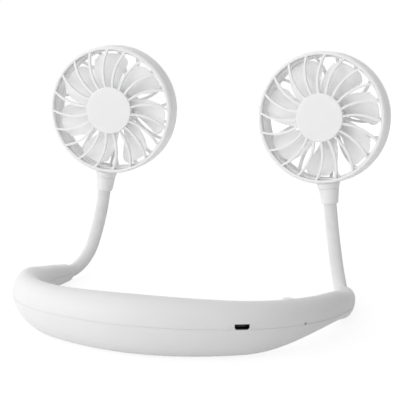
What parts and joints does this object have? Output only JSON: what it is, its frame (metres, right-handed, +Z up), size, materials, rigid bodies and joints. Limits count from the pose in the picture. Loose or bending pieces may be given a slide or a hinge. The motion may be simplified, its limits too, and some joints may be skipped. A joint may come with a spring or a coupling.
{
  "type": "neck fan",
  "caption": "Wearable fan: a C-shaped neckband with flexible necks at its tips, each carrying a round grilled fan head with an impeller.",
  "frame": {"origin": "under the middle of the part's box, on the surface that the band's back and arms stand on", "axes": "+X to the wearer's right, across the band; +Y from the closed back of the band to its open tips; +Z up"},
  "size_m": [0.209, 0.1746, 0.1417],
  "materials": {
    "white_plastic": "satin moulded ABS, white",
    "white_blade": "satin moulded plastic, white",
    "white_silicone": "matte silicone, white",
    "steel": "plain steel",
    "rotor_steel": "laminated iron with varnish",
    "bronze": "sintered bronze",
    "black_plastic": "black moulded plastic",
    "cell_wrap": null,
    "board_laminate": "green glass-fibre laminate",
    "lens": "smoked clear acrylic",
    "led_body": "moulded light, pale yellow",
    "lead_sheath": "white insulation"
  },
  "bodies": {
    "band": {"band_upper_shell": "white_plastic", "band_lower_shell": "white_plastic", "shell_screws": "steel", "left_battery_cell": "cell_wrap", "right_battery_cell": "cell_wrap", "circuit_board": "board_laminate", "usb_socket_shell": "steel", "usb_contact_tongue": "black_plastic", "indicator_lens": "lens", "indicator_led": "led_body", "tact_switch": "black_plastic", "left_band_lead": "lead_sheath", "right_band_lead": "lead_sheath", "left_gooseneck_root": "steel", "left_base_ferrule": "steel", "right_gooseneck_root": "steel", "right_base_ferrule": "steel"},
    "power_button": {"power_button": "white_plastic", "tact_plunger": "black_plastic"},
    "left_neck": {"left_gooseneck_middle": "steel", "left_silicone_sleeve": "white_silicone", "left_neck_lead": "lead_sheath"},
    "left_head": {"left_gooseneck_crown": "steel", "left_head_ferrule": "steel", "left_front_grille": "white_plastic", "left_rear_shell": "white_plastic", "left_neck_socket": "white_plastic", "left_head_lead": "lead_sheath", "left_motor_can": "steel", "left_motor_end_cap": "black_plastic", "left_motor_bushes": "bronze"},
    "left_impeller": {"left_impeller": "white_blade", "left_motor_shaft": "steel", "left_motor_rotor": "rotor_steel"},
    "right_neck": {"right_gooseneck_middle": "steel", "right_silicone_sleeve": "white_silicone", "right_neck_lead": "lead_sheath"},
    "right_head": {"right_gooseneck_crown": "steel", "right_head_ferrule": "steel", "right_front_grille": "white_plastic", "right_rear_shell": "white_plastic", "right_neck_socket": "white_plastic", "right_head_lead": "lead_sheath", "right_motor_can": "steel", "right_motor_end_cap": "black_plastic", "right_motor_bushes": "bronze"},
    "right_impeller": {"right_impeller": "white_blade", "right_motor_shaft": "steel", "right_motor_rotor": "rotor_steel"}
  },
  "joints": [
    {"name": "power_button_press", "type": "slide", "parent": "band", "child": "power_button", "axis": [0, -0.114, -0.9935], "range_m": [0, 0.0005], "stiffness_N_per_m": 1500},
    {"name": "left_neck_lower_bend", "type": "hinge", "parent": "band", "child": "left_neck", "pos_m": [-0.08211, 0.04, 0.00765], "axis": [1, 0, 0], "range_deg": [-30, 30], "deforming": ["left_silicone_sleeve", "left_neck_lead"]},
    {"name": "left_neck_upper_bend", "type": "hinge", "parent": "left_neck", "child": "left_head", "pos_m": [-0.07293, 0.05526, 0.0392], "axis": [0, -1, 0], "range_deg": [-20, 30], "deforming": ["left_silicone_sleeve", "left_neck_lead"]},
    {"name": "left_impeller_spin", "type": "hinge", "parent": "left_head", "child": "left_impeller", "pos_m": [-0.06453, 0.05418, 0.10292], "axis": [0.0303, -0.9966, 0.0769], "continuous": true},
    {"name": "right_neck_lower_bend", "type": "hinge", "parent": "band", "child": "right_neck", "pos_m": [0.08221, 0.04006, 0.00758], "axis": [1, 0, 0], "range_deg": [-30, 30], "deforming": ["right_silicone_sleeve", "right_neck_lead"]},
    {"name": "right_neck_upper_bend", "type": "hinge", "parent": "right_neck", "child": "right_head", "pos_m": [0.07365, 0.05673, 0.03857], "axis": [0, 1, 0], "range_deg": [-20, 30], "deforming": ["right_silicone_sleeve", "right_neck_lead"]},
    {"name": "right_impeller_spin", "type": "hinge", "parent": "right_head", "child": "right_impeller", "pos_m": [0.06519, 0.06125, 0.10215], "axis": [-0.0789, -0.984, 0.1596], "continuous": true}
  ]
}
